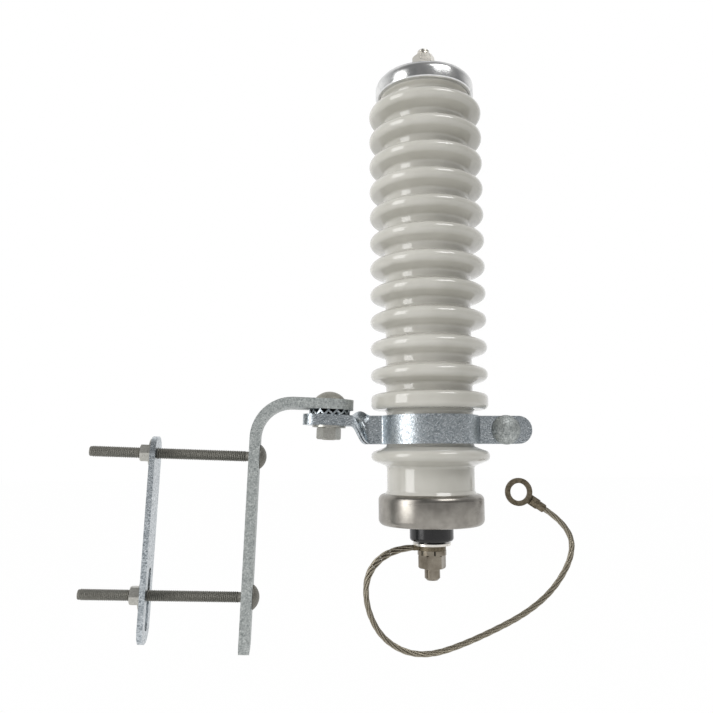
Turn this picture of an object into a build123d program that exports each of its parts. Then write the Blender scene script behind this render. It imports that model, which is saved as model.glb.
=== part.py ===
from build123d import *
import os
from math import asin, atan2, cos, pi, radians, sin, tan

# Distribution surge arrester with a crossarm bracket, in millimetres.
# Origin: centre of the face of the bracket leg that seats on the crossarm.
# +X runs from the crossarm to the arrester, +Z runs up along the arrester's axis.
# Heights along the arrester are given from its own datum, DATUM above the origin.

os.makedirs("parts", exist_ok=True)

# --- driving dimensions --------------------------------------------------------------
AXIS_X = 164.5            # arrester axis from the crossarm seat
DATUM = 62.7              # arrester datum above the origin

SHED_R = 53.5             # weather sheds
ROOT_R = 39.4
SHED_PITCH = 25.1
SHED_COUNT = 11
TOP_SHED = 321.0
NOSE_R = 5.8
FLANK = 19.0              # slope of a shed's flanks, degrees
ROOT_FILLET = 3.0
BORE_R = 24.0

BAND_W = 25.4             # clamp strap section
BAND_T = 4.8
BAND_MID = 20.4
BAND_R = ROOT_R + 0.1
EAR_GAP = 4.0
EAR_END_R = BAND_W / 2

CAP_R = 46.9              # top cap
CAP_WALL = 1.5
CAP_LOW = 338.0
CAP_TOP = 356.0

LINE_R = 6.2              # line stud
LINE_AF = 19.0
LINE_FREE = 7.2            # stud above its top nut

FOOT_R = 47.2             # bottom cap
FOOT_TOP = -36.4
FOOT_LOW = -64.0

DISC_R = 19.5             # ground lead disconnector
DISC_LOW = -78.0

GROUND_R = 6.9            # ground stud
GROUND_AF = 21.5
GROUND_TIP = -111.8

TILT = 2.2                # lean of the bracket under the arrester, degrees
BAR_T = 9.0               # bracket bar
BAR_W = 38.0
BEND_R = 27.5
BAR_TOP = 113.0
BAR_END = 90.5
BAR_LOW = -105.0
BAR_CORNER = 10.0

HANGER_X = 69.2           # hanger bolt, 1/2 inch
HANGER_R = 6.35
HANGER_HEAD_R = 13.4
HANGER_HEAD = 7.4
HANGER_AF = 19.0
TOOTH_T = 4.6
TOOTH_R = 18.4
TOOTH_COUNT = 15
EAR_TIP = 45.5

CROSS_HALF = 60.0         # half the crossarm bolt spacing
CROSS_R = 4.76            # crossarm bolts, 3/8 inch
CROSS_HEAD_R = 10.4
CROSS_HEAD = 6.0
CROSS_TIP = -137.0
CROSS_AF = 14.3
CROSS_NUT = 8.3
STRAP_FACE = -79.0
STRAP_T = 4.8
STRAP_W = 32.0
STRAP_TOP = 74.6
STRAP_LOW = -99.4
SLOT_TOP = -37.0
SLOT_LOW = -89.0
SLOT_W = 11.0

LEAD_D = 5.2              # ground lead
HOLE_GAP = 0.4            # clearance of a bolt in its hole, on the radius
NUT_CHAMFER = 1.0
HEAD_EDGE = 0.8           # straight edge under a round bolt head
NUT_GAP = 0.1             # clearance of a nut or washer on its thread, on the radius
WASHER_T = 1.8

# --- frames --------------------------------------------------------------------------
ARRESTER = Plane((AXIS_X, 0, DATUM))
SECTION = Plane((AXIS_X, 0, DATUM), x_dir=(1, 0, 0), z_dir=(0, -1, 0))
RIGHT = Vector(cos(radians(TILT)), 0, -sin(radians(TILT)))
UP = Vector(sin(radians(TILT)), 0, cos(radians(TILT)))
BRACKET = Plane((0, 0, 0), x_dir=RIGHT, z_dir=(0, -1, 0))


def bracket_plane(x, z):
    """Level plane at (x, z) of the bracket, looking up its leg."""
    return Plane(RIGHT * x + UP * z, x_dir=RIGHT, z_dir=UP)


def crossarm_plane(x, z):
    """Upright plane at (x, z) of the bracket, looking along the crossarm bolts."""
    return Plane(RIGHT * x + UP * z, x_dir=(0, 1, 0), z_dir=RIGHT)


def save(piece, label):
    piece.part.label = label
    export_step(piece.part, f"parts/{label}.step")
    print(f"{label:24s} {piece.part.volume / 1000:9.2f} cm3, {len(piece.part.solids())} solid")


def nut(label, plane, across_flats, height, hole_r):
    """Hexagon nut on plane, with both of its faces chamfered to a round."""
    with BuildPart() as piece:
        with BuildSketch(plane):
            Circle(across_flats / 2 / cos(radians(30)))
        extrude(amount=height)
        chamfer(edges().filter_by(GeomType.CIRCLE), NUT_CHAMFER)
        with BuildSketch(plane):
            RegularPolygon(across_flats / 2, 6, major_radius=False)
        extrude(amount=height, mode=Mode.INTERSECT)
        with BuildSketch(plane):
            Circle(hole_r)
        extrude(amount=height, mode=Mode.SUBTRACT)
    save(piece, label)
    return piece


def washer(label, plane, outer_r, hole_r, height):
    with BuildPart() as piece:
        with BuildSketch(plane):
            Circle(outer_r)
            Circle(hole_r, mode=Mode.SUBTRACT)
        extrude(amount=height)
    save(piece, label)
    return piece


def spring_washer(label, plane, outer_r, hole_r, height):
    """Split lock washer: a ring with one slanting cut."""
    with BuildPart() as piece:
        with BuildSketch(plane):
            Circle(outer_r)
            Circle(hole_r, mode=Mode.SUBTRACT)
            with Locations((0, -outer_r)):
                Rectangle(1.2, 2 * (outer_r - hole_r) + 1, rotation=20, mode=Mode.SUBTRACT)
        extrude(amount=height)
    save(piece, label)
    return piece


def carriage_bolt(label, plane, shank_r, length, head_r, head_h):
    """Round-headed bolt: plane lies under the head, and its normal points out through it."""
    dome = head_h - HEAD_EDGE
    sphere_r = (head_r ** 2 + dome ** 2) / (2 * dome)
    half_way = asin(head_r / sphere_r) / 2
    crown = (sphere_r * sin(half_way), head_h - sphere_r * (1 - cos(half_way)))
    profile_plane = Plane(plane.origin, x_dir=plane.x_dir, z_dir=-plane.y_dir)
    with BuildPart() as piece:
        with BuildSketch(profile_plane):
            with BuildLine():
                Polyline((0, head_h), (0, -length), (shank_r - 1, -length), (shank_r, 1 - length),
                         (shank_r, 0), (head_r, 0), (head_r, HEAD_EDGE))
                ThreePointArc((head_r, HEAD_EDGE), crown, (0, head_h))
            make_face()
        revolve(axis=Axis(plane.origin, plane.z_dir))
    save(piece, label)
    return piece


# --- porcelain housing ---------------------------------------------------------------
def shed_points(middle, nose_r, above, below):
    """Root, nose tangent and tip of one shed, from its lower flank to its upper one."""
    slope = radians(FLANK)
    centre = SHED_R - nose_r
    reach = nose_r * sin(slope)
    half = nose_r * cos(slope)
    rise = (centre + reach - ROOT_R) * tan(slope)
    return [(ROOT_R, middle - half - rise - below), (centre + reach, middle - half),
            (SHED_R, middle), (centre + reach, middle + half),
            (ROOT_R, middle + half + rise + above)]


sheds = [shed_points(-3.0, 5.2, 0, 0.6)]
sheds += [shed_points(TOP_SHED - SHED_PITCH * k, NOSE_R, 0, 0) for k in reversed(range(SHED_COUNT))]
THICK_LOW = 38.1          # the square-nosed shed over the clamp
THICK_TOP = 53.2
NECK_RISE = 13.4
NECK_TOP = TOP_SHED + NECK_RISE
COLLAR_R = CAP_R - 3.9    # the housing's collar under the cap
COLLAR_LOW = CAP_LOW - 1.2
PORCELAIN_LOW = -46.0
PORCELAIN_TOP = 351.5
FLANGE_R = CAP_R - CAP_WALL - 1.0

# The root fillet, or less where the neck under the cap is too short for it.
FLANK_TURN = radians(90 - FLANK) / 2
COLLAR_TURN = atan2(COLLAR_R - ROOT_R, COLLAR_LOW - NECK_TOP) / 2
NECK_LENGTH = NECK_TOP - sheds[-1][4][1]
NECK_FILLET = min(ROOT_FILLET, 0.98 * NECK_LENGTH / (tan(FLANK_TURN) + tan(COLLAR_TURN)))

with BuildPart() as housing:
    with BuildSketch(SECTION):
        with BuildLine():
            Polyline((BORE_R, PORCELAIN_LOW), (FOOT_R - 4.2, PORCELAIN_LOW), (FOOT_R - 4.2, FOOT_TOP - 3),
                     (ROOT_R, FOOT_TOP + 3), sheds[0][0])
            for number, shed in enumerate(sheds):
                Line(shed[0], shed[1])
                ThreePointArc(shed[1], shed[2], shed[3])
                Line(shed[3], shed[4])
                if number == 0:
                    Polyline(shed[4], (ROOT_R, THICK_LOW), (SHED_R - 0.3, THICK_LOW + 0.6),
                             (SHED_R - 0.3, THICK_TOP - 0.6), (ROOT_R, THICK_TOP), sheds[1][0])
                elif number < len(sheds) - 1:
                    Line(shed[4], sheds[number + 1][0])
            Polyline(sheds[-1][4], (ROOT_R, NECK_TOP), (COLLAR_R, COLLAR_LOW), (COLLAR_R, CAP_LOW + 2),
                     (FLANGE_R, CAP_LOW + 3.2), (FLANGE_R, PORCELAIN_TOP), (BORE_R, PORCELAIN_TOP),
                     (BORE_R, PORCELAIN_LOW))
        make_face()
        roots = vertices().filter_by(lambda v: abs(v.X - ROOT_R) < 0.01)
        fillet(roots, NECK_FILLET)
        square = vertices().filter_by(lambda v: abs(v.X - SHED_R + 0.3) < 0.01)
        fillet(square, 4.5)
    revolve(axis=Axis((AXIS_X, 0, 0), (0, 0, 1)))
save(housing, "porcelain_housing")

# --- clamp seats and end fittings of the housing --------------------------------------
CAP_IN = CAP_R - CAP_WALL
GASKET_T = CAP_TOP - CAP_WALL - PORCELAIN_TOP
FOOT_WALL = 2.2

with BuildPart() as top_cap:
    with BuildSketch(SECTION):
        with BuildLine():
            Polyline((LINE_R + NUT_GAP, CAP_TOP), (CAP_R, CAP_TOP), (CAP_R, CAP_LOW), (CAP_R - 3.6, CAP_LOW),
                     (CAP_R - 3.6, CAP_LOW + CAP_WALL), (CAP_IN, CAP_LOW + CAP_WALL),
                     (CAP_IN, CAP_TOP - CAP_WALL), (LINE_R + NUT_GAP, CAP_TOP - CAP_WALL), close=True)
        make_face()
        fillet(vertices().filter_by(lambda v: abs(v.X - CAP_R) < 0.01).sort_by(Axis.Y)[-1], 4.0)
        fillet(vertices().filter_by(lambda v: abs(v.X - CAP_R) < 0.01).sort_by(Axis.Y)[0], 1.2)
    revolve(axis=Axis((AXIS_X, 0, 0), (0, 0, 1)))
save(top_cap, "top_cap")

washer("top_gasket", ARRESTER.offset(PORCELAIN_TOP), CAP_IN - 2.0, BORE_R + 4, GASKET_T)

with BuildPart() as bottom_cap:
    with BuildSketch(SECTION):
        with BuildLine():
            Polyline((GROUND_R + 2.1, FOOT_LOW), (FOOT_R, FOOT_LOW), (FOOT_R, FOOT_TOP), (FOOT_R - 3.9, FOOT_TOP),
                     (FOOT_R - 3.9, PORCELAIN_LOW - 3), (BORE_R + 4, PORCELAIN_LOW - 3),
                     (BORE_R + 4, PORCELAIN_LOW - 6), (GROUND_R + 2.1, PORCELAIN_LOW - 6), close=True)
        make_face()
        fillet(vertices().filter_by(lambda v: abs(v.X - FOOT_R) < 0.01), 3.0)
    revolve(axis=Axis((AXIS_X, 0, 0), (0, 0, 1)))
save(bottom_cap, "bottom_cap")

washer("bottom_gasket", ARRESTER.offset(PORCELAIN_LOW - 3), FOOT_R - 5.0, BORE_R + 5, 3)

# --- inside the housing ----------------------------------------------------------------
BLOCK_R = 20.0
BLOCK_H = 38.0
BLOCK_COUNT = 9
PLATE_R = 21.5
PLATE_T = 3.0
PLATE_LOW = PORCELAIN_LOW - 6
STACK_LOW = PLATE_LOW + PLATE_T

with BuildPart() as base_plate:
    with BuildSketch(ARRESTER.offset(PLATE_LOW)):
        Circle(PLATE_R)
    extrude(amount=PLATE_T)
save(base_plate, "base_contact_plate")

for number in range(BLOCK_COUNT):
    with BuildPart() as block:
        with BuildSketch(ARRESTER.offset(STACK_LOW + number * BLOCK_H)):
            Circle(BLOCK_R)
        extrude(amount=BLOCK_H)
        chamfer(edges().filter_by(GeomType.CIRCLE), 0.8)
    save(block, f"varistor_block_{number + 1}")

TOP_PLATE = STACK_LOW + BLOCK_COUNT * BLOCK_H
with BuildPart() as top_plate:
    with BuildSketch(ARRESTER.offset(TOP_PLATE)):
        Circle(PLATE_R)
    extrude(amount=PLATE_T)
save(top_plate, "top_contact_plate")

SPRING_LOW = TOP_PLATE + PLATE_T
HEAD_T = 4.0
HEAD_LOW = CAP_TOP - CAP_WALL - HEAD_T
DISC_COUNT = 6
DISC_RISE = (HEAD_LOW - SPRING_LOW) / DISC_COUNT
DISC_T = 1.6
DISC_IN_R = 6.0
DISC_OUT_R = 19.0
with BuildPart() as contact_spring:
    with BuildSketch(SECTION):
        for number in range(DISC_COUNT):
            base = SPRING_LOW + number * DISC_RISE
            inner = 0 if number % 2 else DISC_RISE - DISC_T
            outer = DISC_RISE - DISC_T - inner
            with BuildLine():
                Polyline((DISC_IN_R, base + inner), (DISC_OUT_R, base + outer),
                         (DISC_OUT_R, base + outer + DISC_T), (DISC_IN_R, base + inner + DISC_T), close=True)
            make_face()
    revolve(axis=Axis((AXIS_X, 0, 0), (0, 0, 1)))
save(contact_spring, "contact_spring")

# --- line terminal ---------------------------------------------------------------------
LINE_NUT_H = 10.5
LOCK_T = 4.0
LINE_HEAD_R = 17.0
LINE_WASHER_R = 12.0
LINE_LOCK_R = 10.0
LINE_NUT_TOP = CAP_TOP + 2 * LINE_NUT_H + WASHER_T + LOCK_T
LINE_TIP = LINE_NUT_TOP + LINE_FREE
with BuildPart() as line_stud:
    with BuildSketch(ARRESTER.offset(HEAD_LOW)):
        Circle(LINE_HEAD_R)
    extrude(amount=HEAD_T)
    with BuildSketch(ARRESTER.offset(HEAD_LOW + HEAD_T)):
        Circle(LINE_R)
    extrude(amount=LINE_TIP - HEAD_LOW - HEAD_T)
    chamfer(edges().filter_by(GeomType.CIRCLE).sort_by(Axis.Z)[-1], 1.6)
save(line_stud, "line_stud")

line_low = ARRESTER.offset(CAP_TOP)
nut("line_base_nut", line_low, LINE_AF, LINE_NUT_H, LINE_R + NUT_GAP)
washer("line_flat_washer", line_low.offset(LINE_NUT_H), LINE_WASHER_R, LINE_R + NUT_GAP, WASHER_T)
spring_washer("line_spring_washer", line_low.offset(LINE_NUT_H + WASHER_T), LINE_LOCK_R, LINE_R + NUT_GAP, LOCK_T)
nut("line_top_nut", line_low.offset(LINE_NUT_TOP - CAP_TOP - LINE_NUT_H), LINE_AF, LINE_NUT_H,
    LINE_R + NUT_GAP)

# --- ground end ------------------------------------------------------------------------
BOSS_R = 12.0
BOSS_LOW = DISC_LOW - 1.4
EYE_T = 4.4
EYE_R = 12.4
GROUND_LOCK_T = 4.0
GROUND_NUT_H = 11.6
GROUND_WASHER_R = 16.9
GROUND_LOCK_R = 12.8
EYE_TRIM_R = EYE_R + 5.0    # past the eye's crimped mouth
WASHER_LOW = BOSS_LOW - 2.0
EYE_LOW = WASHER_LOW - EYE_T
LOCK_LOW = EYE_LOW - GROUND_LOCK_T

with BuildPart() as disconnector:
    with BuildSketch(SECTION):
        with BuildLine():
            Polyline((GROUND_R + NUT_GAP, FOOT_LOW), (DISC_R, FOOT_LOW), (DISC_R, DISC_LOW), (BOSS_R, DISC_LOW),
                     (BOSS_R, BOSS_LOW), (GROUND_R + NUT_GAP, BOSS_LOW), close=True)
        make_face()
        skirt = vertices().filter_by(lambda v: abs(v.X - DISC_R) < 0.01)
        fillet(skirt.sort_by(Axis.Y)[0], 3.0)
    revolve(axis=Axis((AXIS_X, 0, 0), (0, 0, 1)))
save(disconnector, "disconnector_housing")

with BuildPart() as ground_stud:
    with BuildSketch(ARRESTER.offset(GROUND_TIP)):
        Circle(GROUND_R)
    extrude(amount=FOOT_LOW + 10 - GROUND_TIP)
    chamfer(edges().filter_by(GeomType.CIRCLE).sort_by(Axis.Z)[0], 2.0)
save(ground_stud, "ground_stud")

washer("ground_washer", ARRESTER.offset(WASHER_LOW), GROUND_WASHER_R, GROUND_R + NUT_GAP, BOSS_LOW - WASHER_LOW)
spring_washer("ground_lock_washer", ARRESTER.offset(LOCK_LOW), GROUND_LOCK_R, GROUND_R + NUT_GAP, GROUND_LOCK_T)
nut("ground_nut", ARRESTER.offset(LOCK_LOW - GROUND_NUT_H), GROUND_AF, GROUND_NUT_H, GROUND_R + NUT_GAP)

# --- ground lead -----------------------------------------------------------------------
# The route of the lead's centre line, in the plane of the bracket and the arrester.
LEAD_Z = DATUM + EYE_LOW + EYE_T / 2
route = [(147.5, LEAD_Z), (127.0, -22.0), (105.5, -41.5), (105.0, -72.0), (121.0, -101.0), (154.0, -115.0),
         (199.0, -102.5), (263.0, -73.5), (294.5, -34.0), (292.5, -4.0), (269.0, 11.5)]
points = [Vector(x, 0, z) for x, z in route]
runs = [b - a for a, b in zip(points, points[1:])]
turns = [a.get_angle(b) for a, b in zip(runs, runs[1:])]
radii = [0.45 * min(a.length, b.length) / tan(radians(turn) / 2) for a, b, turn in zip(runs, runs[1:], turns)]
print("lead runs", [round(run.length, 1) for run in runs])
print("lead turns", [round(turn, 1) for turn in turns])
print("lead bend radii", [round(radius, 1) for radius in radii])

with BuildPart() as ground_lead:
    with BuildLine() as lead_path:
        FilletPolyline(*points, radius=radii)
    with BuildSketch(Plane(points[0], z_dir=runs[0])):
        Circle(LEAD_D / 2)
    sweep(path=lead_path.line)
save(ground_lead, "ground_lead")
lead_length = lead_path.wire().length
print("lead length", round(lead_length, 1), "tube volume over section times length",
      round(ground_lead.part.volume / (lead_length * pi * LEAD_D ** 2 / 4), 4))

# The crimped eye on the stud, with its barrel around the start of the lead.
with BuildPart() as lead_eye:
    with BuildSketch(ARRESTER.offset(EYE_LOW)):
        Circle(EYE_R)
    extrude(amount=EYE_T)
    with BuildSketch(Plane(points[0], z_dir=-runs[0])):
        Circle(LEAD_D / 2 + 0.9)
    extrude(amount=9)
    with BuildSketch(ARRESTER.offset(EYE_LOW - 2)):
        Circle(GROUND_R + NUT_GAP)
    extrude(amount=EYE_T + 4, mode=Mode.SUBTRACT)
    for low in (EYE_LOW - 4, EYE_LOW + EYE_T):
        with BuildSketch(ARRESTER.offset(low)):
            Circle(EYE_TRIM_R)
        extrude(amount=4, mode=Mode.SUBTRACT)
save(lead_eye, "lead_eye")

# Ring terminal: a flat ring and a barrel in line with the end of the lead.
RING_R = 12.6
RING_HOLE_R = 8.0
RING_T = 2.0
RING_REACH = 28.0
BARREL_L = 15.0
end_dir = runs[-1].normalized()
ring_centre = points[-1] + end_dir * RING_REACH
ring_plane = Plane(ring_centre - Vector(0, RING_T / 2, 0), x_dir=end_dir, z_dir=(0, 1, 0))
with BuildPart() as ring_terminal:
    with BuildSketch(ring_plane):
        Circle(RING_R)
        with Locations(((BARREL_L - RING_REACH) / 2 - 4, 0)):
            Rectangle(RING_REACH - BARREL_L + 8, 9.0)
    extrude(amount=RING_T)
    with BuildSketch(Plane(points[-1], z_dir=end_dir)):
        Circle(LEAD_D / 2 + 1.3)
    extrude(amount=BARREL_L)
    chamfer(edges().filter_by(GeomType.CIRCLE).sort_by(lambda e: (e.center() - points[-1]).length)[0], 0.6)
    with BuildSketch(ring_plane.offset(-5)):
        Circle(RING_HOLE_R)
    extrude(amount=RING_T + 10, mode=Mode.SUBTRACT)
save(ring_terminal, "ring_terminal")

# --- clamp bands -----------------------------------------------------------------------
BAND_LOW = BAND_MID - BAND_W / 2
EAR_OUT = 93.7
EAR_BOLT = 69.1
TWIST_FROM = -55.0        # from the arrester axis
TWIST_TO = 87.0           # along the bracket
TWIST_STEPS = 8
EAR_TOP = BAR_TOP - BAR_T - TOOTH_T
SEAT_GAP = 0.02           # between the two clamped ears


def twist_station(side, share):
    """Section plane of the strap, share of the way through its quarter turn."""
    ease = share * share * (3 - 2 * share)
    angle = radians(90 * ease)
    lean = radians(TILT * ease)
    along = Vector(cos(lean), 0, -sin(lean))
    rise = Vector(sin(lean), 0, cos(lean))
    start = Vector(AXIS_X + TWIST_FROM, 0, DATUM + BAND_MID)
    end = RIGHT * TWIST_TO + UP * (EAR_TOP - BAND_T - SEAT_GAP / 2)
    middle = Vector(start.X + (end.X - start.X) * share, 0, start.Z + (end.Z - start.Z) * ease)
    normal = Vector(0, -1, 0) * cos(angle) + rise * sin(angle)
    across = rise * -cos(angle) + Vector(0, -1, 0) * sin(angle)
    reach = (EAR_GAP * (1 - ease) + SEAT_GAP * ease + BAND_T) / 2
    return Plane(middle + normal * (-side * reach), x_dir=across, z_dir=-along)


def half_band(label, side):
    """Half of the clamp: side is -1 for the front half and 1 for the rear one."""
    with BuildPart() as piece:
        with BuildSketch(ARRESTER.offset(BAND_LOW)):
            Circle(BAND_R + BAND_T)
            Circle(BAND_R, mode=Mode.SUBTRACT)
            far = BAND_R + BAND_T + 2
            with Locations((0, side * (EAR_GAP / 2 - far))):
                Rectangle(2 * far, 2 * far, mode=Mode.SUBTRACT)
            with Locations(((BAND_R + 1.5 + EAR_OUT) / 2, side * (EAR_GAP + BAND_T) / 2)):
                Rectangle(EAR_OUT - BAND_R - 1.5, BAND_T)
            with Locations(((TWIST_FROM - BAND_R - 1.5) / 2, side * (EAR_GAP + BAND_T) / 2)):
                Rectangle(-TWIST_FROM - BAND_R - 1.5, BAND_T)
            outer = EAR_GAP / 2 + BAND_T
            creases = vertices().filter_by(
                lambda v: abs(abs(v.Y) - outer) < 0.01 and abs(v.X) < BAND_R + BAND_T)
            fillet(creases, 3.0)
        extrude(amount=BAND_W)
        tips = edges().filter_by(Axis.Y).filter_by(lambda e: e.center().X > AXIS_X + EAR_OUT - 0.1)
        fillet(tips, EAR_END_R - 0.1)
        with BuildSketch(Plane((AXIS_X + EAR_BOLT, 0, DATUM + BAND_MID), z_dir=(0, 1, 0))):
            Circle(HANGER_R + HOLE_GAP)
        extrude(amount=20, both=True, mode=Mode.SUBTRACT)
        for step in range(TWIST_STEPS + 1):
            with BuildSketch(twist_station(side, step / TWIST_STEPS)):
                Rectangle(BAND_W, BAND_T)
        loft()
        ear_low = EAR_TOP - BAND_T if side < 0 else EAR_TOP - 2 * BAND_T - SEAT_GAP
        with BuildSketch(bracket_plane(HANGER_X, ear_low)):
            with Locations(((EAR_TIP + TWIST_TO) / 2 - HANGER_X, 0)):
                Rectangle(TWIST_TO - EAR_TIP, BAND_W)
            fillet(vertices().sort_by(Axis.X)[:2], EAR_END_R - 0.1)
            Circle(HANGER_R + HOLE_GAP, mode=Mode.SUBTRACT)
        extrude(amount=BAND_T)
    save(piece, label)


half_band("front_band", -1)
half_band("rear_band", 1)

# Band bolt through the right-hand ears, its round head to the front.
BAND_NUT_H = 10.8
ear_face = EAR_GAP / 2 + BAND_T
band_head = Plane((AXIS_X + EAR_BOLT, -ear_face, DATUM + BAND_MID), x_dir=(1, 0, 0), z_dir=(0, -1, 0))
band_back = Plane((AXIS_X + EAR_BOLT, ear_face, DATUM + BAND_MID), x_dir=(1, 0, 0), z_dir=(0, 1, 0))
carriage_bolt("band_bolt", band_head, HANGER_R, 2 * ear_face + WASHER_T + BAND_NUT_H + 6, HANGER_HEAD_R, HANGER_HEAD)
washer("band_washer", band_back, 12.4, HANGER_R + NUT_GAP, WASHER_T)
nut("band_nut", band_back.offset(WASHER_T), HANGER_AF, BAND_NUT_H, HANGER_R + NUT_GAP)

# --- bracket ---------------------------------------------------------------------------
with BuildPart() as bracket:
    with BuildSketch(BRACKET):
        with BuildLine():
            Polyline((0, BAR_LOW), (0, BAR_TOP), (BAR_END, BAR_TOP), (BAR_END, BAR_TOP - BAR_T),
                     (BAR_T, BAR_TOP - BAR_T), (BAR_T, BAR_LOW), close=True)
        make_face()
        outer_corner = vertices().sort_by(lambda v: (v.center() - Vector(0, BAR_TOP)).length)[0]
        fillet(outer_corner, BEND_R + BAR_T)
        inner_corner = vertices().sort_by(lambda v: (v.center() - Vector(BAR_T, BAR_TOP - BAR_T)).length)[0]
        fillet(inner_corner, BEND_R)
    extrude(amount=BAR_W / 2, both=True)
    far_end = edges().filter_by(lambda e: e.center().dot(RIGHT) > BAR_END - 0.1 and abs(e.center().Y) > BAR_W / 2 - 0.1)
    fillet(far_end, BAR_W / 2 - 0.2)
    low_end = edges().filter_by(lambda e: e.center().dot(UP) < BAR_LOW + 0.1 and abs(e.center().Y) > BAR_W / 2 - 0.1)
    fillet(low_end, BAR_CORNER)
    with BuildSketch(bracket_plane(HANGER_X, BAR_TOP - BAR_T - 2)):
        Circle(HANGER_R + HOLE_GAP)
    extrude(amount=BAR_T + 4, mode=Mode.SUBTRACT)
    for height in (CROSS_HALF, -CROSS_HALF):
        with BuildSketch(crossarm_plane(-2, height)):
            Circle(CROSS_R + HOLE_GAP)
        extrude(amount=BAR_T + 4, mode=Mode.SUBTRACT)
save(bracket, "mounting_bracket")

# --- hanger bolt and its toothed washer --------------------------------------------------
HANGER_NUT_H = 10.6
EARS_LOW = EAR_TOP - 2 * BAND_T - SEAT_GAP
NUT_TOP = EARS_LOW - WASHER_T
HANGER_LENGTH = BAR_TOP - NUT_TOP + HANGER_NUT_H + 0.4
carriage_bolt("hanger_bolt", bracket_plane(HANGER_X, BAR_TOP), HANGER_R, HANGER_LENGTH, HANGER_HEAD_R, HANGER_HEAD)

TOOTH_DEPTH = TOOTH_T - 1.6
tooth_base = bracket_plane(HANGER_X, EAR_TOP)
with BuildPart() as toothed_washer:
    with BuildSketch(tooth_base):
        Circle(TOOTH_R)
        Circle(HANGER_R + NUT_GAP, mode=Mode.SUBTRACT)
    extrude(amount=TOOTH_T)
    for face in (0, 1):
        for number in range(TOOTH_COUNT):
            turn = 360 / TOOTH_COUNT * (number + face / 2)
            spoke = tooth_base.rotated((0, 0, turn))
            for reach in (HANGER_R - 1, TOOTH_R + 1):
                half_width = reach * radians(180 / TOOTH_COUNT) * 0.86
                mouth = TOOTH_T if face else 0
                root = TOOTH_T - TOOTH_DEPTH if face else TOOTH_DEPTH
                beyond = 1 if face else -1
                with BuildSketch(Plane(spoke.from_local_coords((reach, 0, 0)), x_dir=spoke.y_dir, z_dir=spoke.x_dir)):
                    with BuildLine():
                        Polyline((-half_width, mouth), (0, root), (half_width, mouth), (half_width, mouth + beyond),
                                 (-half_width, mouth + beyond), close=True)
                    make_face()
            loft(ruled=True, mode=Mode.SUBTRACT)
save(toothed_washer, "toothed_washer")

under = Plane(bracket_plane(HANGER_X, EARS_LOW).origin, x_dir=RIGHT, z_dir=-UP)
washer("hanger_washer", under, 15.0, HANGER_R + NUT_GAP, WASHER_T)
nut("hanger_nut", under.offset(WASHER_T), HANGER_AF, HANGER_NUT_H, HANGER_R + NUT_GAP)

# --- crossarm bolts, strap, washers and nuts ----------------------------------------------
CROSS_WASHER_R = 12.5
with BuildPart() as strap:
    with BuildSketch(crossarm_plane(STRAP_FACE - STRAP_T, 0)):
        with Locations((0, (STRAP_TOP + STRAP_LOW) / 2)):
            RectangleRounded(STRAP_W, STRAP_TOP - STRAP_LOW, STRAP_W / 2 - 1.5)
        with Locations((0, CROSS_HALF)):
            Circle(CROSS_R + HOLE_GAP, mode=Mode.SUBTRACT)
        with Locations((0, (SLOT_TOP + SLOT_LOW) / 2)):
            SlotOverall(SLOT_TOP - SLOT_LOW, SLOT_W, rotation=90, mode=Mode.SUBTRACT)
    extrude(amount=STRAP_T)
save(strap, "crossarm_strap")

for name, height in (("upper", CROSS_HALF), ("lower", -CROSS_HALF)):
    head = crossarm_plane(BAR_T, height)
    back = Plane(crossarm_plane(STRAP_FACE - STRAP_T, height).origin, x_dir=(0, -1, 0), z_dir=-RIGHT)
    carriage_bolt(f"crossarm_bolt_{name}", head, CROSS_R, BAR_T - CROSS_TIP, CROSS_HEAD_R, CROSS_HEAD)
    washer(f"crossarm_washer_{name}", back, CROSS_WASHER_R, CROSS_R + NUT_GAP, WASHER_T)
    nut(f"crossarm_nut_{name}", back.offset(WASHER_T), CROSS_AF, CROSS_NUT, CROSS_R + NUT_GAP)
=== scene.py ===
# %% [markdown]
# # A distribution surge arrester
# The arrester hangs beside a pole's crossarm: a ribbed porcelain housing, a clamp round its
# neck, a bent bracket and a bare ground lead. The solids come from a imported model, so this
# file only gives them their finishes and models the lead, the threads and the light.

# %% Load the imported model
import math

import bmesh
import bpy
from mathutils import Matrix, Vector


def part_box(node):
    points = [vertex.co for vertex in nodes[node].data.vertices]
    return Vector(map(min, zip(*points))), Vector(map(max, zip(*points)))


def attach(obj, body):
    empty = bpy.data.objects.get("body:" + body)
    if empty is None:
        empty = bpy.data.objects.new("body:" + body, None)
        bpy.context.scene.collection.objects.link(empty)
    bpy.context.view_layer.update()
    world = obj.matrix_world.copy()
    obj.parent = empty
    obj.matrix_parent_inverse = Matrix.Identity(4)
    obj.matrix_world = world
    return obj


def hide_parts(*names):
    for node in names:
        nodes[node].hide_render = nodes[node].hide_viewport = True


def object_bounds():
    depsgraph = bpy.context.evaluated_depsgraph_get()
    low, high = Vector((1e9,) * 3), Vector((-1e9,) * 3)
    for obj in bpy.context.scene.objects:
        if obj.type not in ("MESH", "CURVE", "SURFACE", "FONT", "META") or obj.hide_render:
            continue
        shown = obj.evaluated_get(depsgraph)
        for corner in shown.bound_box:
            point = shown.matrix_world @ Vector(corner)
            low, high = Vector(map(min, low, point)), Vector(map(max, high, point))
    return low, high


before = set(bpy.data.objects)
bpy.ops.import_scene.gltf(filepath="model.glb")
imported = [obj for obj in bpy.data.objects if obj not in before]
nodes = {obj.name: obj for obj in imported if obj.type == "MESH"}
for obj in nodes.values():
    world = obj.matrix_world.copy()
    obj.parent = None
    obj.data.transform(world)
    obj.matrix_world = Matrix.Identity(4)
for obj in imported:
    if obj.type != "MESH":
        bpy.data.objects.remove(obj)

cad_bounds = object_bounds()
MM = 0.001
print("packed nodes:", len(nodes))

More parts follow.
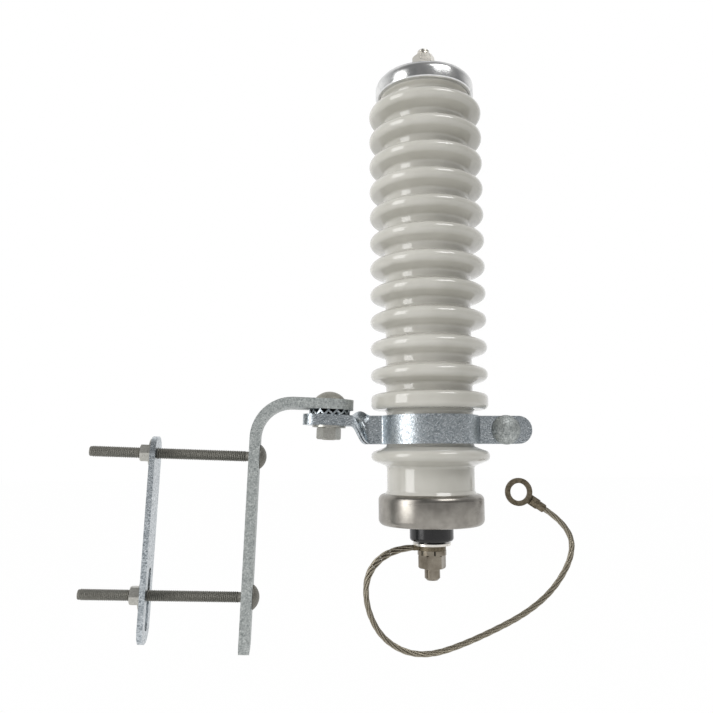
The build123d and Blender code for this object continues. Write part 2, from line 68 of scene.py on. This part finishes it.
# %% [markdown]
# ## Camera
# The camera stands a little left of the arrester, level with its clamp, and looks up by a
# few degrees, so the sheds are seen from below at the top and from above at the bottom. Its
# axes are turned one after another: heading, pitch, then a slight roll.

# %% Camera
HEADING, PITCH, ROLL = -5.689, 7.685, -0.221
STAND = Vector((33.5, -643.9, 62.7)) * MM
FOCAL = 36.07

view = bpy.data.cameras.new("camera")
view.lens = FOCAL
view.sensor_width = 36
view.clip_start = 0.01
camera = bpy.data.objects.new("camera", view)
turn = (Matrix.Rotation(math.radians(HEADING), 4, "Z")
        @ Matrix.Rotation(math.radians(90 + PITCH), 4, "X")
        @ Matrix.Rotation(math.radians(ROLL), 4, "Z"))
camera.matrix_world = Matrix.Translation(STAND) @ turn
bpy.context.scene.collection.objects.link(camera)
bpy.context.scene.camera = camera
bpy.context.scene.view_settings.view_transform = "Standard"
print("camera at", [round(value, 4) for value in STAND])

# %% [markdown]
# ## The lead's route
# A bare lead of tinned copper strands runs from the eye on the ground stud to a ring
# terminal. It is stiff enough to keep the sweep that it was bent to. A NURBS curve through
# a short list of control points gives one smooth line of the right length.

# %% Lead route
LEAD_D = 5.2 * MM
EYE_Z = -20.9
ROUTE = [(147.5, EYE_Z), (127.0, -22.0), (105.5, -41.5), (105.0, -72.0), (121.0, -101.0), (154.0, -115.0),
         (199.0, -102.5), (263.0, -73.5), (294.5, -34.0), (292.5, -4.0), (269.0, 11.5)]


def read_line(points):
    """The points of a smooth NURBS line with these control points."""
    curve = bpy.data.curves.new("lead_route", "CURVE")
    curve.dimensions = "3D"
    spline = curve.splines.new("NURBS")
    spline.points.add(len(points) - 1)
    for target, point in zip(spline.points, points):
        target.co = (*point, 1)
    spline.order_u = 3
    spline.use_endpoint_u = True
    spline.resolution_u = 24
    holder = bpy.data.objects.new("lead_route", curve)
    mesh = bpy.data.meshes.new_from_object(holder)
    line = [vertex.co.copy() for vertex in mesh.vertices]
    bpy.data.objects.remove(holder)
    bpy.data.meshes.remove(mesh)
    return line


route = [Vector((x, 0, z)) * MM for x, z in ROUTE]
lead_line = read_line(route)
steps = [(b - a).length for a, b in zip(lead_line, lead_line[1:])]

# %% [markdown]
# ## The lead's strands
# Seven strands are laid round each other like a rope. Each strand is a spline that circles
# the route once in every lay, with a round section from the curve's bevel. Near the eye the
# lay is loose, so there the strands stand a little further out.

# %% Lead strands
STRAND_R = 0.88 * MM
LAY = 58 * MM
LOOSE_LENGTH = 60 * MM
LOOSE_SHARE = 0.45


def strand_points(number, count):
    """Points of one outer strand, or of the core for number 0."""
    points = []
    travelled = 0.0
    for index, place in enumerate(lead_line):
        ahead = lead_line[min(index + 1, len(lead_line) - 1)]
        behind = lead_line[max(index - 1, 0)]
        along = (ahead - behind).normalized()
        side = Vector((0, 1, 0))
        up = along.cross(side)
        if index:
            travelled += steps[index - 1]
        loose = 1 + LOOSE_SHARE * math.sin(math.pi * min(travelled / LOOSE_LENGTH, 1))
        angle = 2 * math.pi * (travelled / LAY + number / count)
        reach = (LEAD_D / 2 - STRAND_R) * loose if number else 0
        points.append(place + (side * math.cos(angle) + up * math.sin(angle)) * reach)
    return points


rope = bpy.data.curves.new("ground_lead_strands", "CURVE")
rope.dimensions = "3D"
rope.bevel_depth = STRAND_R
rope.bevel_resolution = 2
rope.use_fill_caps = True
OUTER_STRANDS = 6
for number in range(OUTER_STRANDS + 1):
    spline = rope.splines.new("POLY")
    strand = strand_points(number, OUTER_STRANDS)
    spline.points.add(len(strand) - 1)
    for target, point in zip(spline.points, strand):
        target.co = (*point, 1)
holder = bpy.data.objects.new("strand_holder", rope)
lead_mesh = bpy.data.meshes.new_from_object(holder)
bpy.data.objects.remove(holder)
lead_mesh.name = "ground_lead_strands"
for polygon in lead_mesh.polygons:
    polygon.use_smooth = True
lead = bpy.data.objects.new("ground_lead_strands", lead_mesh)
bpy.context.scene.collection.objects.link(lead)
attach(lead, "root")
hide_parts("ground_lead")
print("strand faces:", len(lead_mesh.polygons))

# %% [markdown]
# ## Helpers for materials
# Colours are written as sRGB hex values and turned to linear light in one place. One small
# function adds a shader node, sets its options and fills or links its inputs.

# %% Material helpers


def linear(code):
    """Linear RGBA from an sRGB hex code such as C8C4B8."""
    channels = [int(code[start:start + 2], 16) / 255 for start in (0, 2, 4)]
    low = [value / 12.92 for value in channels]
    high = [((value + 0.055) / 1.055) ** 2.4 for value in channels]
    return [a if value <= 0.04045 else b for value, a, b in zip(channels, low, high)] + [1.0]


def add(tree, kind, settings=None, inputs=None):
    """A new shader node with its options set and its inputs filled or linked."""
    node = tree.nodes.new("ShaderNode" + kind)
    for name, value in (settings or {}).items():
        setattr(node, name, value)
    for name, value in (inputs or {}).items():
        if isinstance(value, bpy.types.NodeSocket):
            tree.links.new(value, node.inputs[name])
        else:
            node.inputs[name].default_value = value
    return node


def new_material(name):
    """A bare material: its tree, its surface shader and its object coordinates."""
    material = bpy.data.materials.new(name)
    material.use_nodes = True
    tree = material.node_tree
    tree.nodes.clear()
    surface = add(tree, "BsdfPrincipled")
    add(tree, "OutputMaterial", inputs={"Surface": surface.outputs["BSDF"]})
    place = add(tree, "TexCoord").outputs["Object"]
    return material, tree, surface, place


def mottle(tree, place, grain_mm, detail=3.0, stretch=(1, 1, 1)):
    """A soft noise with patches of about grain_mm, from 0 to 1."""
    spread = add(tree, "Mapping", {"vector_type": "POINT"}, {"Vector": place, "Scale": stretch})
    noise = add(tree, "TexNoise", inputs={"Vector": spread.outputs["Vector"], "Scale": 1 / (grain_mm * MM),
                                          "Detail": detail, "Roughness": 0.6})
    contrast = add(tree, "MapRange",
                   inputs={"Value": noise.outputs["Fac"], "From Min": 0.32, "From Max": 0.68})
    return contrast.outputs[0]


def blend_colours(tree, share, dark, light):
    """Dark where share is 0 and light where it is 1."""
    mix = add(tree, "Mix", {"data_type": "RGBA"}, {0: share, 6: linear(dark), 7: linear(light)})
    return mix.outputs[2]


def set_finish(tree, surface, colour, rough, height=None, depth_mm=0.0):
    """Link a colour, a roughness and a bump to the surface shader."""
    tree.links.new(colour, surface.inputs["Base Color"])
    tree.links.new(rough, surface.inputs["Roughness"])
    if height is not None:
        bump = add(tree, "Bump", inputs={"Height": height, "Distance": depth_mm * MM, "Strength": 1.0})
        tree.links.new(bump.outputs["Normal"], surface.inputs["Normal"])


def between(tree, share, low, high):
    """Low where share is 0 and high where it is 1."""
    return add(tree, "MapRange", inputs={"Value": share, "To Min": low, "To Max": high}).outputs[0]


def dress(material, names):
    """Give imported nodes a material."""
    for name in names:
        for holder in nodes[name].material_slots:
            holder.material = material
    print(material.name, "on", len(names), "nodes")


# %% [markdown]
# ## Porcelain
# Wet-process porcelain is dipped in a feldspar glaze and fired. The glaze is a smooth glass
# coat over a warm grey body, a little uneven in colour where it ran thicker, so it gets a low
# roughness, a faint broad mottle and hardly any bump.

# %% Glazed porcelain
glaze, tree, surface, place = new_material("glazed_porcelain")
cloud = mottle(tree, place, 45, detail=2.0)
ripple = mottle(tree, place, 9, detail=1.0)
set_finish(tree, surface, blend_colours(tree, cloud, "B9B7AF", "C5C3BC"), between(tree, cloud, 0.09, 0.15),
           ripple, 0.02)
surface.inputs["Coat Weight"].default_value = 0.4
surface.inputs["Coat Roughness"].default_value = 0.07
dress(glaze, ["porcelain_housing"])

# %% [markdown]
# ## Turned metal
# Studs, nuts and caps are turned or spun, so their fine marks run round the axis: a noise
# stretched flat in X and Y changes only with height. The line end is bright. The ground end
# is darker, like old nickel plate.

# %% Turned metal
MARK_MM = 0.5
MARK_STRETCH = (0.01, 0.01, 1)


def turned_metal(name, dark, light, rough_low, rough_high, depth_mm):
    """Metal with fine level marks, and broad patches from dark to light."""
    material, tree, surface, place = new_material(name)
    lines = mottle(tree, place, MARK_MM, detail=4.0, stretch=MARK_STRETCH)
    patch = mottle(tree, place, 12, detail=2.0)
    rough = between(tree, lines, rough_low, rough_high)
    set_finish(tree, surface, blend_colours(tree, patch, dark, light), rough, lines, depth_mm)
    surface.inputs["Metallic"].default_value = 1.0
    return material


dress(turned_metal("bright_terminal", "CFCBC2", "E4E1DA", 0.18, 0.28, 0.003),
      ["line_stud", "line_base_nut", "line_flat_washer", "line_spring_washer", "line_top_nut",
       "ground_washer"])
dress(turned_metal("nickel_ground_terminal", "6F675B", "8D867A", 0.16, 0.24, 0.003),
      ["ground_stud", "ground_lock_washer", "ground_nut"])

# %% [markdown]
# ## Rounded caps
# Spinning sheet over a former leaves broad round corners. Each cap's half section is spun
# round the axis with bmesh, and a bevel then rolls its rims over. The top cap is thin plated
# sheet, nearly a mirror, with a hem turned in at its rim. The bottom cap is thicker and satin.

# %% Rounded caps
AXIS_X, DATUM = 164.5, 62.7
AXIS = Vector((AXIS_X, 0, DATUM)) * MM
CAP_STEPS = 128
RIM_SEGMENTS = 8
RIM_REACH = 0.01 * MM


def link_piece(name, bm, material, slot, *replaced):
    """Turn a bmesh into a finished piece that stands for the named nodes."""
    bmesh.ops.recalc_face_normals(bm, faces=bm.faces)
    mesh = bpy.data.meshes.new(name)
    bm.to_mesh(mesh)
    bm.free()
    mesh.materials.append(material)
    piece = bpy.data.objects.new(name, mesh)
    bpy.context.scene.collection.objects.link(piece)
    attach(piece, "root")
    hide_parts(*replaced)
    print(name, "faces:", len(mesh.polygons))
    return piece


def rim_edges(bm, radius, height):
    """The ring of edges at this radius and height, in millimetres."""
    ring = {vertex for vertex in bm.verts
            if abs((vertex.co - AXIS).xy.length - radius * MM) < RIM_REACH
            and abs(vertex.co.z - AXIS.z - height * MM) < RIM_REACH}
    return [edge for edge in bm.edges if edge.verts[0] in ring and edge.verts[1] in ring]


def spun_cap(name, outline, rims, material, slot, node):
    """Spin an outline of (radius, height) round the arrester's axis, then roll its rims."""
    bm = bmesh.new()
    ring = [bm.verts.new(AXIS + Vector((radius, 0, height)) * MM) for radius, height in outline]
    wire = [bm.edges.new((a, b)) for a, b in zip(ring, ring[1:] + ring[:1])]
    bmesh.ops.spin(bm, geom=ring + wire, cent=AXIS, axis=(0, 0, 1), angle=2 * math.pi, steps=CAP_STEPS,
                   use_merge=True)
    for radius, height, roll in rims:
        bmesh.ops.bevel(bm, geom=rim_edges(bm, radius, height), offset=roll * MM, segments=RIM_SEGMENTS,
                        profile=0.5, affect="EDGES", material=-1)
    for face in bm.faces:
        face.smooth = True
    piece = link_piece(name, bm, material, slot, node)
    piece.data.set_sharp_from_angle(angle=math.radians(40))
    return piece


CAP_R, CAP_LOW, CAP_TOP = 46.9, 338.0, 356.0
CAP_WALL = 1.5
CAP_IN, CAP_UNDER = CAP_R - CAP_WALL, CAP_TOP - CAP_WALL
CAP_ROUND = 8.5
HEM_R, HEM_TOP, HEM_ROUND = 43.3, CAP_LOW + CAP_WALL, 2.2
LINE_HOLE_R = 6.3
mirror = turned_metal("spun_plated_steel_cap", "CFD0D0", "E6E6E5", 0.17, 0.27, 0.002)
spun_cap("spun_top_cap",
         [(LINE_HOLE_R, CAP_TOP), (CAP_R, CAP_TOP), (CAP_R, CAP_LOW), (HEM_R, CAP_LOW),
          (HEM_R, HEM_TOP), (CAP_IN, HEM_TOP), (CAP_IN, CAP_UNDER), (LINE_HOLE_R, CAP_UNDER)],
         [(CAP_R, CAP_TOP, CAP_ROUND), (CAP_IN, CAP_UNDER, CAP_ROUND - CAP_WALL),
          (CAP_R, CAP_LOW, HEM_ROUND)],
         mirror, "cap_steel", "top_cap")

FOOT_R, FOOT_LOW, FOOT_TOP = 47.2, -64.0, -36.4
FOOT_IN, FOOT_STEP = 40.2, -48.9
FOOT_ROUND = 5.5
WELL_R, WELL_LOW = 28.0, -52.0
GROUND_HOLE_R = 9.0
satin = turned_metal("satin_aluminium_cap", "8B8781", "A39F98", 0.27, 0.33, 0.004)
spun_cap("pressed_bottom_cap",
         [(GROUND_HOLE_R, FOOT_LOW), (FOOT_R, FOOT_LOW), (FOOT_R, FOOT_TOP), (FOOT_IN, FOOT_TOP),
          (FOOT_IN, FOOT_STEP), (WELL_R, FOOT_STEP), (WELL_R, WELL_LOW), (GROUND_HOLE_R, WELL_LOW)],
         [(FOOT_R, FOOT_LOW, FOOT_ROUND), (FOOT_R, FOOT_TOP, FOOT_ROUND)],
         satin, "foot_metal", "bottom_cap")

# %% [markdown]
# ## Zinc
# Hot-dip galvanising leaves zinc crystals, called spangle. Fresh zinc on thin strap is bright
# with crystals of one or two millimetres. On thick bar it cools slowly into a dull grey skin
# with a fine grain. Cells from a Voronoi texture stand for crystals, and noise for the grain.

# %% Galvanised finishes


def spangled_zinc(name, dark, light, rough_low, rough_high, crystal_mm, depth_mm, metallic=1.0):
    """Zinc with crystals of about crystal_mm; the lighter ones are the smoother."""
    material, tree, surface, place = new_material(name)
    cells = add(tree, "TexVoronoi", inputs={"Vector": place, "Scale": 1 / (crystal_mm * MM)})
    shade = add(tree, "SeparateColor", inputs={"Color": cells.outputs["Color"]}).outputs[0]
    grain = mottle(tree, place, crystal_mm * 0.8, detail=5.0)
    both = add(tree, "Math", {"operation": "MULTIPLY_ADD"}, {0: shade, 1: 0.45, 2: grain}).outputs[0]
    share = add(tree, "MapRange", inputs={"Value": both, "From Max": 1.45}).outputs[0]
    rough = between(tree, share, rough_high, rough_low)
    set_finish(tree, surface, blend_colours(tree, share, dark, light), rough, grain, depth_mm)
    surface.inputs["Metallic"].default_value = metallic
    return material


dress(spangled_zinc("bright_galvanised_strap", "6B757C", "E2E8EC", 0.16, 0.44, 1.7, 0.09),
      ["front_band", "rear_band", "crossarm_strap", "toothed_washer"])
dress(spangled_zinc("dull_galvanised_bar", "787E7E", "CFD3D1", 0.42, 0.62, 1.8, 0.12, 0.7),
      ["mounting_bracket", "band_bolt"])
dress(spangled_zinc("dark_galvanised_bolt", "66655F", "8F8D86", 0.42, 0.6, 0.8, 0.03, 0.8),
      ["crossarm_bolt_upper", "crossarm_bolt_lower"])
dress(spangled_zinc("weathered_galvanised_bolt", "7F7E76", "ABA9A0", 0.42, 0.58, 1.0, 0.04, 0.75),
      ["hanger_bolt"])
dress(spangled_zinc("galvanised_nut", "9C9B94", "CFCEC8", 0.28, 0.42, 1.0, 0.03, 0.9),
      ["hanger_nut", "hanger_washer", "band_nut", "band_washer", "crossarm_nut_upper", "crossarm_nut_lower",
       "crossarm_washer_upper", "crossarm_washer_lower"])

# %% [markdown]
# ## Threads
# A thread is a ridge that climbs by one pitch a turn. A copy of each packed bolt is thinned
# to the root of its thread, and a three-sided ridge is spun along it, a little further along
# at every step of the spin.

# %% Threads
LEAN = math.radians(2.2)
RIGHT = Vector((math.cos(LEAN), 0, -math.sin(LEAN)))
UP = Vector((math.sin(LEAN), 0, math.cos(LEAN)))
TURN_STEPS = 16
DEPTH_SHARE = 0.33
SUNK = 0.05
ON_SHANK = 0.02 * MM


def threaded(node, tip, out, radius, pitch, length, slot):
    """A threaded copy of a packed bolt: out points along it through its tip."""
    root = radius - DEPTH_SHARE * pitch
    bm = bmesh.new()
    bm.from_mesh(nodes[node].data)
    bmesh.ops.remove_doubles(bm, verts=bm.verts, dist=1e-7)
    for vertex in bm.verts:
        offset = vertex.co - tip * MM
        radial = offset - out * offset.dot(out)
        if abs(radial.length - radius * MM) < ON_SHANK:
            vertex.co -= radial.normalized() * (radius - root) * MM
    side = out.orthogonal().normalized()
    start = (tip - out * pitch * 1.2) * MM
    ridge = [bm.verts.new(start + (side * reach + out * shift) * MM)
             for reach, shift in ((root - SUNK, -0.45 * pitch), (radius, 0), (root - SUNK, 0.45 * pitch))]
    wire = [bm.edges.new((a, b)) for a, b in zip(ridge, ridge[1:] + ridge[:1])]
    turns = int((length - 2.4 * pitch) / pitch)
    bmesh.ops.spin(bm, geom=ridge + wire, cent=start, axis=out, dvec=out * (-pitch / TURN_STEPS) * MM,
                   angle=2 * math.pi * turns, steps=TURN_STEPS * turns)
    bmesh.ops.holes_fill(bm, edges=[edge for edge in bm.edges if edge.is_boundary], sides=3)
    piece = link_piece("threaded_" + node, bm, nodes[node].material_slots[0].material, slot, node)
    piece.data.set_sharp_from_angle(angle=math.radians(35))
    return piece


BOLT_TIP, BOLT_HALF, BOLT_R = -137.0, 60.0, 4.76
BOLT_PITCH, BOLT_THREAD = 1.5875, 136
for node, height in (("crossarm_bolt_upper", BOLT_HALF), ("crossarm_bolt_lower", -BOLT_HALF)):
    threaded(node, RIGHT * BOLT_TIP + UP * height, -RIGHT, BOLT_R, BOLT_PITCH, BOLT_THREAD, "bolt_zinc")

HANGER_R, HANGER_X = 6.35, 69.2
HANGER_PITCH, HANGER_THREAD = 1.954, 24
hanger_low = (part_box("hanger_bolt")[0].z / MM + HANGER_X * math.sin(LEAN)) / math.cos(LEAN)
threaded("hanger_bolt", RIGHT * HANGER_X + UP * hanger_low, -UP, HANGER_R, HANGER_PITCH, HANGER_THREAD,
         "bolt_zinc")

BAND_BOLT_OUT, BAND_MID, BAND_THREAD = 69.1, 20.4, 26
band_tip = Vector((AXIS_X + BAND_BOLT_OUT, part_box("band_bolt")[1].y / MM, DATUM + BAND_MID))
threaded("band_bolt", band_tip, Vector((0, 1, 0)), HANGER_R, HANGER_PITCH, BAND_THREAD, "bar_zinc")

STUD_TIP, STUD_R, STUD_PITCH, STUD_THREAD = 390, 6.2, 1.75, 34
threaded("line_stud", Vector((AXIS_X, 0, DATUM + STUD_TIP)), Vector((0, 0, 1)), STUD_R, STUD_PITCH,
         STUD_THREAD, "terminal_steel")

# %% [markdown]
# ## Copper, moulding and inner pieces
# Tinned copper strands turn brown-grey in use. The disconnector is a glossy black moulding.
# The sealed pieces are never seen, but each still gets a finish of its own.

# %% Lead, terminals, moulding and inner pieces


def plain_finish(name, dark, light, rough_low, rough_high, grain_mm, depth_mm, metallic):
    """One patchy noise for the colour, the roughness and the grain."""
    material, tree, surface, place = new_material(name)
    patch = mottle(tree, place, grain_mm, detail=4.0)
    rough = between(tree, patch, rough_low, rough_high)
    set_finish(tree, surface, blend_colours(tree, patch, dark, light), rough, patch, depth_mm)
    surface.inputs["Metallic"].default_value = metallic
    return material


lead_mesh.materials.clear()
lead_mesh.materials.append(
    plain_finish("tinned_copper_strand", "5E5646", "B9B2A2", 0.26, 0.40, 0.5, 0.02, 0.9))
dress(plain_finish("dull_tinned_lug", "574F40", "867C6A", 0.38, 0.55, 2.0, 0.03, 0.9),
      ["ring_terminal", "lead_eye"])
dress(plain_finish("black_moulding", "040405", "0A0A0B", 0.14, 0.24, 3.0, 0.01, 0.0),
      ["disconnector_housing"])
dress(plain_finish("rubber_seal", "1A1A1A", "262626", 0.6, 0.75, 2.0, 0.02, 0.0),
      ["top_gasket", "bottom_gasket"])
dress(plain_finish("metal_oxide_block", "3A3C3E", "4B4D4F", 0.5, 0.7, 1.0, 0.02, 0.0),
      [name for name in nodes if name.startswith("varistor_block_")])
dress(plain_finish("contact_aluminium", "A9AAAB", "C9CACB", 0.3, 0.45, 2.0, 0.01, 1.0),
      ["base_contact_plate", "top_contact_plate", "contact_spring"])

# %% [markdown]
# ## Floor, background and light
# A pale floor lies well under the arrester. Rays from the camera, and mirror rays, see white
# there and in the sky. Behind the camera the room is dimmer, so metal shows a dark side and a
# light side. Two large soft boxes, one low at the left and one high at the right, and the sky
# give the light.

# %% Studio
FLOOR_DROP = 60 * MM
FLOOR_SIZE = 12.0
FLOOR_WHITE = 0.99
SKY_LIGHT = 0.5
ROOM_SHADE = 0.22


def seen_directly(tree):
    """1 for rays that come straight from the camera, a mirror or a clear piece."""
    path = add(tree, "LightPath")
    some = add(tree, "Math", {"operation": "MAXIMUM"},
               {0: path.outputs["Is Camera Ray"], 1: path.outputs["Is Glossy Ray"]})
    every = add(tree, "Math", {"operation": "MAXIMUM"},
                {0: some.outputs[0], 1: path.outputs["Is Transmission Ray"]})
    return every.outputs[0]


bm = bmesh.new()
bmesh.ops.create_grid(bm, x_segments=1, y_segments=1, size=FLOOR_SIZE / 2)
bmesh.ops.translate(bm, verts=bm.verts, vec=(0, 0, cad_bounds[0][2] - FLOOR_DROP))
floor_mesh = bpy.data.meshes.new("floor")
bm.to_mesh(floor_mesh)
bm.free()
floor = bpy.data.objects.new("floor", floor_mesh)
bpy.context.scene.collection.objects.link(floor)
paper = bpy.data.materials.new("white_paper")
paper.use_nodes = True
tree = paper.node_tree
tree.nodes.clear()
matt = add(tree, "BsdfDiffuse", inputs={"Color": linear("F4F4F2")})
white = add(tree, "Emission", inputs={"Color": linear("FFFFFF"), "Strength": 1.0})
share = add(tree, "Math", {"operation": "MULTIPLY"}, {0: seen_directly(tree), 1: FLOOR_WHITE})
mixed = add(tree, "MixShader", inputs={0: share.outputs[0], 1: matt.outputs[0], 2: white.outputs[0]})
add(tree, "OutputMaterial", inputs={"Surface": mixed.outputs[0]})
floor_mesh.materials.append(paper)

sky = bpy.data.worlds.new("studio")
bpy.context.scene.world = sky
sky.use_nodes = True
tree = sky.node_tree
tree.nodes.clear()
dim = add(tree, "Background", inputs={"Color": linear("FFFFFF"), "Strength": SKY_LIGHT})
bright = add(tree, "Background", inputs={"Color": linear("FFFFFF"), "Strength": 1.0})
compass = add(tree, "SeparateXYZ", inputs={0: add(tree, "TexCoord").outputs["Generated"]})
room = add(tree, "MapRange", {"interpolation_type": "SMOOTHSTEP"},
           {"Value": compass.outputs["Y"], "From Min": -0.3, "From Max": 0.7,
            "To Min": ROOM_SHADE, "To Max": 1.0})
mirrored = add(tree, "Background", inputs={"Color": linear("FFFFFF"), "Strength": room.outputs[0]})
path = add(tree, "LightPath")
behind = add(tree, "MixShader", inputs={0: path.outputs["Is Glossy Ray"], 1: bright.outputs[0],
                                        2: mirrored.outputs[0]})
mixed = add(tree, "MixShader", inputs={0: seen_directly(tree), 1: dim.outputs[0], 2: behind.outputs[0]})
add(tree, "OutputWorld", inputs={"Surface": mixed.outputs[0]})

AIM = Vector((150, 0, 150)) * MM
SOFTBOX_REACH = 1.5


def softbox(name, azimuth, height, width, tall, watts):
    """An area lamp that faces the arrester, azimuth degrees right of its front, height above AIM."""
    lamp = bpy.data.lights.new(name, "AREA")
    lamp.shape = "RECTANGLE"
    lamp.size = width
    lamp.size_y = tall
    lamp.energy = watts
    holder = bpy.data.objects.new(name, lamp)
    angle = math.radians(azimuth)
    spot = AIM + Vector((math.sin(angle), -math.cos(angle), 0)) * SOFTBOX_REACH + Vector((0, 0, height))
    facing = (spot - AIM).to_track_quat("Z", "Y").to_matrix().to_4x4()
    holder.matrix_world = Matrix.Translation(spot) @ facing
    bpy.context.scene.collection.objects.link(holder)
    print(name, "at", [round(value, 2) for value in spot])


softbox("left_softbox", -66, 0.35, 0.7, 1.4, 13)
softbox("right_softbox", 34, 1.7, 1.1, 0.8, 17)
